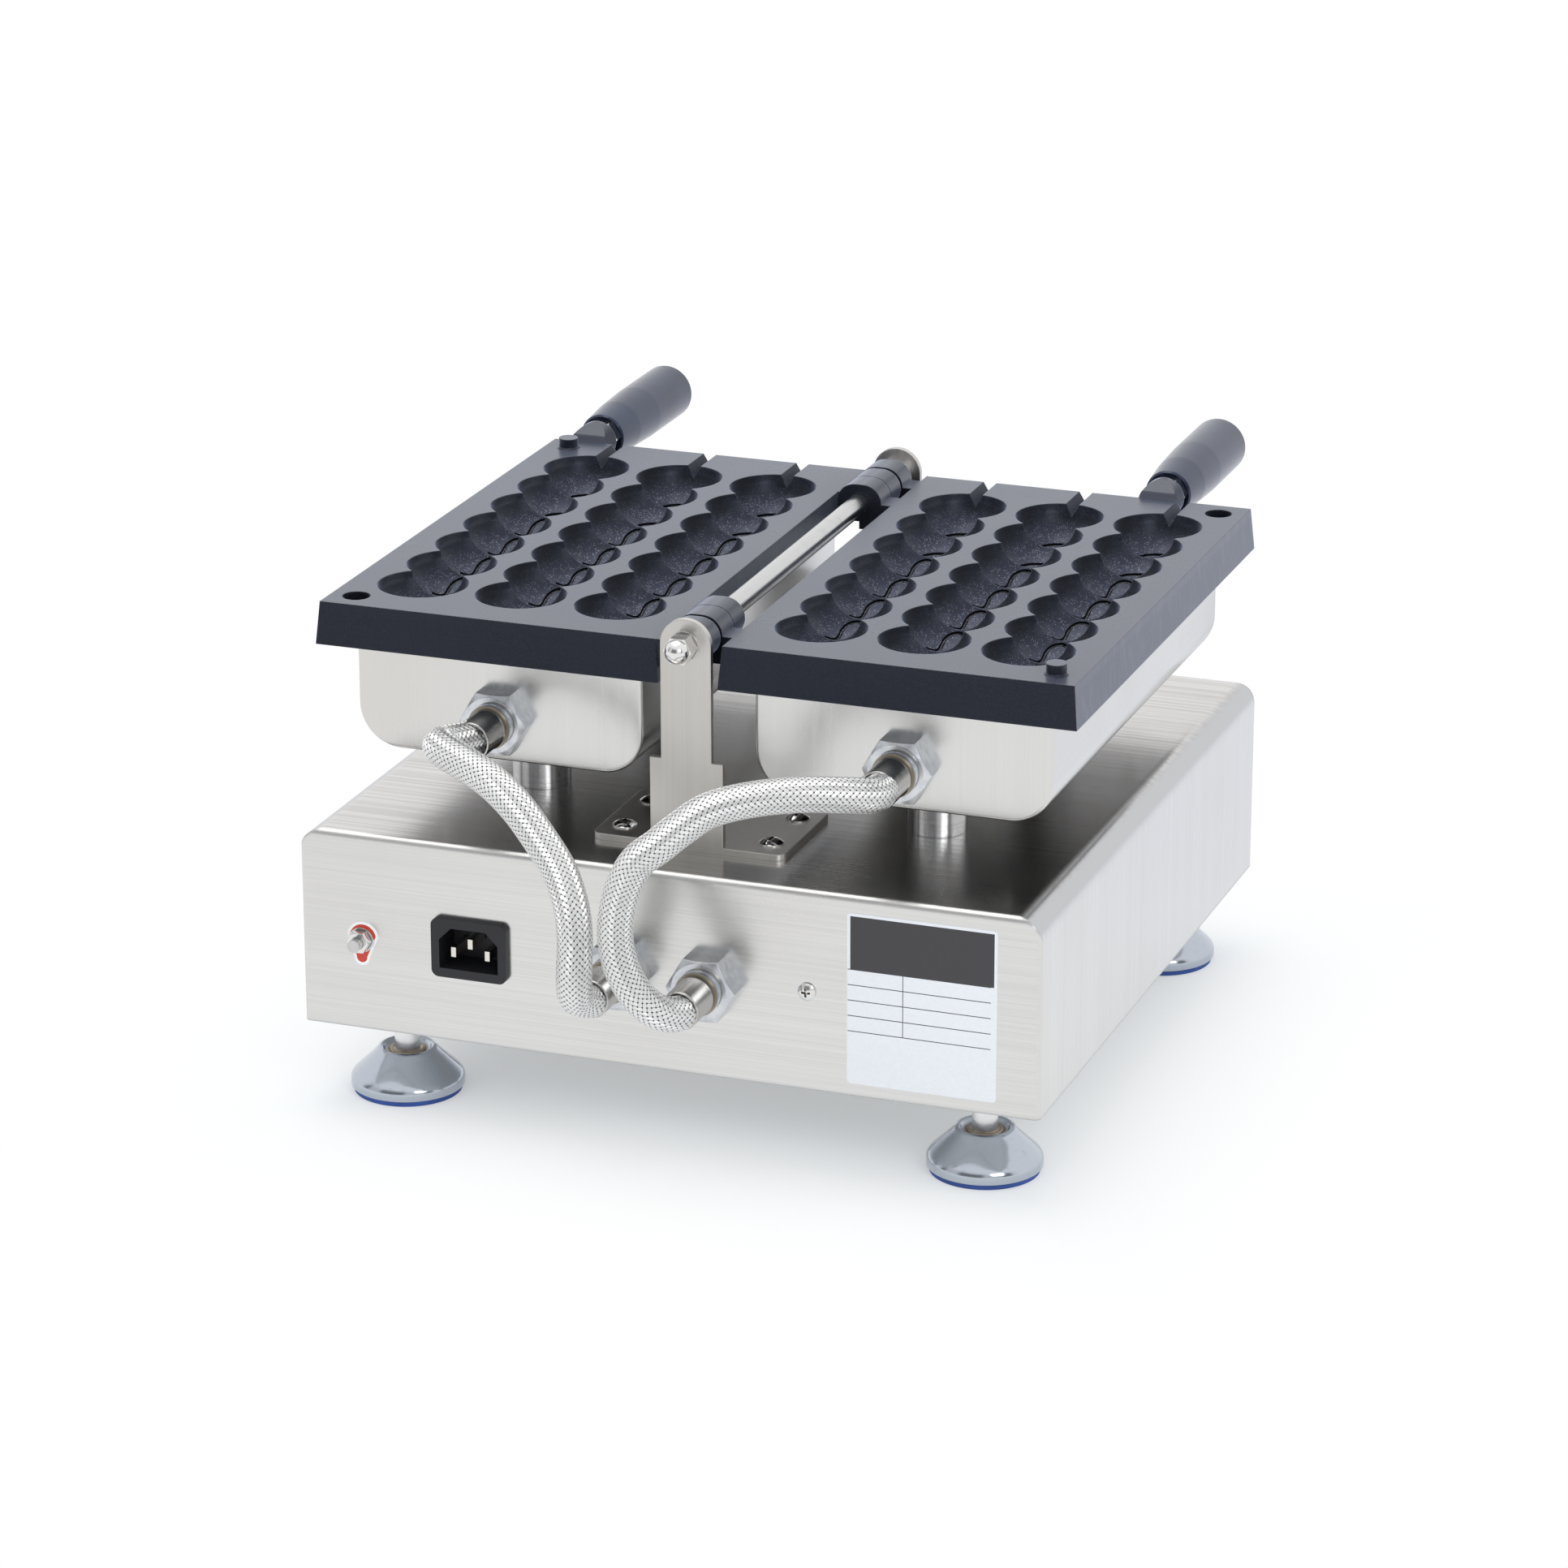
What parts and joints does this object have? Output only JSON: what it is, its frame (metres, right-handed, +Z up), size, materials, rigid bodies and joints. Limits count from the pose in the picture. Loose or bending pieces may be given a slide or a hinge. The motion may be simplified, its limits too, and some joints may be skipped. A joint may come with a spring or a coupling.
{
  "type": "lollipop waffle maker",
  "caption": "Countertop waffle maker: box base on levelling feet, two heated pans hinged on one rod, each with chains of ball shaped cavities, stick grooves and a handle.",
  "frame": {"origin": "on the worktop, in the middle of the footprint of the part without its hoses, under the hinge rod", "axes": "+Z up; -Y is the operator's side with the handles and controls; +Y is the rear panel with the inlet and the hoses; +X is the operator's right"},
  "size_m": [0.307, 0.4152, 0.2072],
  "materials": {
    "stainless": "satin, brushed along X",
    "bracket_steel": "satin",
    "screw_steel": "bright",
    "rod_steel": "ground",
    "turned_aluminium": "turned",
    "foot_chrome": "polished",
    "pad_rubber": "matte blue",
    "inlet_plastic": "matte black",
    "pin_metal": "nickel plated",
    "gland_zinc": "zinc plated, bluish",
    "hose_braid": "braided wire",
    "body_plastic": "matte",
    "terminal_plastic": "matte",
    "knob_plastic": "gloss",
    "rocker_plastic": "gloss",
    "lamp_plastic": "clear amber",
    "plate_coating": "dark non-stick coating on cast aluminium",
    "heater_sheath": "oxidised",
    "mineral_wool": "mineral wool",
    "grip_plastic": "moulded phenolic, glossy"
  },
  "bodies": {
    "base": {"base_shell": "stainless", "bottom_plate": "stainless", "front_bracket": "bracket_steel", "rear_bracket": "bracket_steel", "bottom_screws": "screw_steel", "rear_screw": "screw_steel", "bracket_screws": "screw_steel", "rod_nuts": "screw_steel", "earth_nuts": "screw_steel", "hinge_rod": "rod_steel", "rod_sleeve": "rod_steel", "earth_stud": "rod_steel", "rest_posts": "turned_aluminium", "inlet_socket": "inlet_plastic", "switch_frame": "inlet_plastic", "inlet_pins": "pin_metal", "base_gland_left": "gland_zinc", "base_gland_right": "gland_zinc", "hose_left": "hose_braid", "hose_right": "hose_braid", "thermostat_body": "body_plastic", "timer_body": "body_plastic", "terminal_block": "terminal_plastic", "pilot_lamps": "lamp_plastic"},
    "left_pan": {"plate_left": "plate_coating", "knuckles_left": "plate_coating", "cover_left": "stainless", "cover_ends_left": "stainless", "cover_screws_left": "screw_steel", "heater_left": "heater_sheath", "insulation_left": "mineral_wool", "pan_gland_left": "gland_zinc", "handle_stud_left": "rod_steel", "handle_nut_left": "screw_steel", "grip_left": "grip_plastic"},
    "right_pan": {"plate_right": "plate_coating", "knuckles_right": "plate_coating", "cover_right": "stainless", "cover_ends_right": "stainless", "cover_screws_right": "screw_steel", "heater_right": "heater_sheath", "insulation_right": "mineral_wool", "pan_gland_right": "gland_zinc", "handle_stud_right": "rod_steel", "handle_nut_right": "screw_steel", "grip_right": "grip_plastic"},
    "thermostat_dial": {"thermostat_shaft": "rod_steel", "thermostat_knob": "knob_plastic"},
    "timer_dial": {"timer_shaft": "rod_steel", "timer_knob": "knob_plastic"},
    "power_rocker": {"switch_rocker": "rocker_plastic"},
    "foot_front_left_unit": {"foot_front_left": "foot_chrome", "pad_front_left": "pad_rubber"},
    "foot_front_right_unit": {"foot_front_right": "foot_chrome", "pad_front_right": "pad_rubber"},
    "foot_rear_left_unit": {"foot_rear_left": "foot_chrome", "pad_rear_left": "pad_rubber"},
    "foot_rear_right_unit": {"foot_rear_right": "foot_chrome", "pad_rear_right": "pad_rubber"}
  },
  "joints": [
    {"name": "left_pan_hinge", "type": "hinge", "parent": "base", "child": "left_pan", "pos_m": [0, 0.02, 0.197], "axis": [0, 1, 0], "range_deg": [0, 180], "deforming": ["hose_left"]},
    {"name": "right_pan_hinge", "type": "hinge", "parent": "base", "child": "right_pan", "pos_m": [0, 0.02, 0.197], "axis": [0, -1, 0], "range_deg": [0, 180], "deforming": ["hose_right"]},
    {"name": "thermostat_turn", "type": "hinge", "parent": "base", "child": "thermostat_dial", "pos_m": [0.088, -0.13, 0.075], "axis": [0, 1, 0], "range_deg": [0, 270]},
    {"name": "timer_turn", "type": "hinge", "parent": "base", "child": "timer_dial", "pos_m": [-0.088, -0.13, 0.075], "axis": [0, 1, 0], "range_deg": [0, 300]},
    {"name": "power_rock", "type": "hinge", "parent": "base", "child": "power_rocker", "pos_m": [0, -0.11935, 0.075], "axis": [1, 0, 0], "range_deg": [0, 24]},
    {"name": "front_left_foot_height", "type": "slide", "parent": "base", "child": "foot_front_left_unit", "axis": [0, 0, 1], "range_m": [-0.004, 0.008]},
    {"name": "front_right_foot_height", "type": "slide", "parent": "base", "child": "foot_front_right_unit", "axis": [0, 0, 1], "range_m": [-0.004, 0.008]},
    {"name": "rear_left_foot_height", "type": "slide", "parent": "base", "child": "foot_rear_left_unit", "axis": [0, 0, 1], "range_m": [-0.004, 0.008]},
    {"name": "rear_right_foot_height", "type": "slide", "parent": "base", "child": "foot_rear_right_unit", "axis": [0, 0, 1], "range_m": [-0.004, 0.008]}
  ]
}
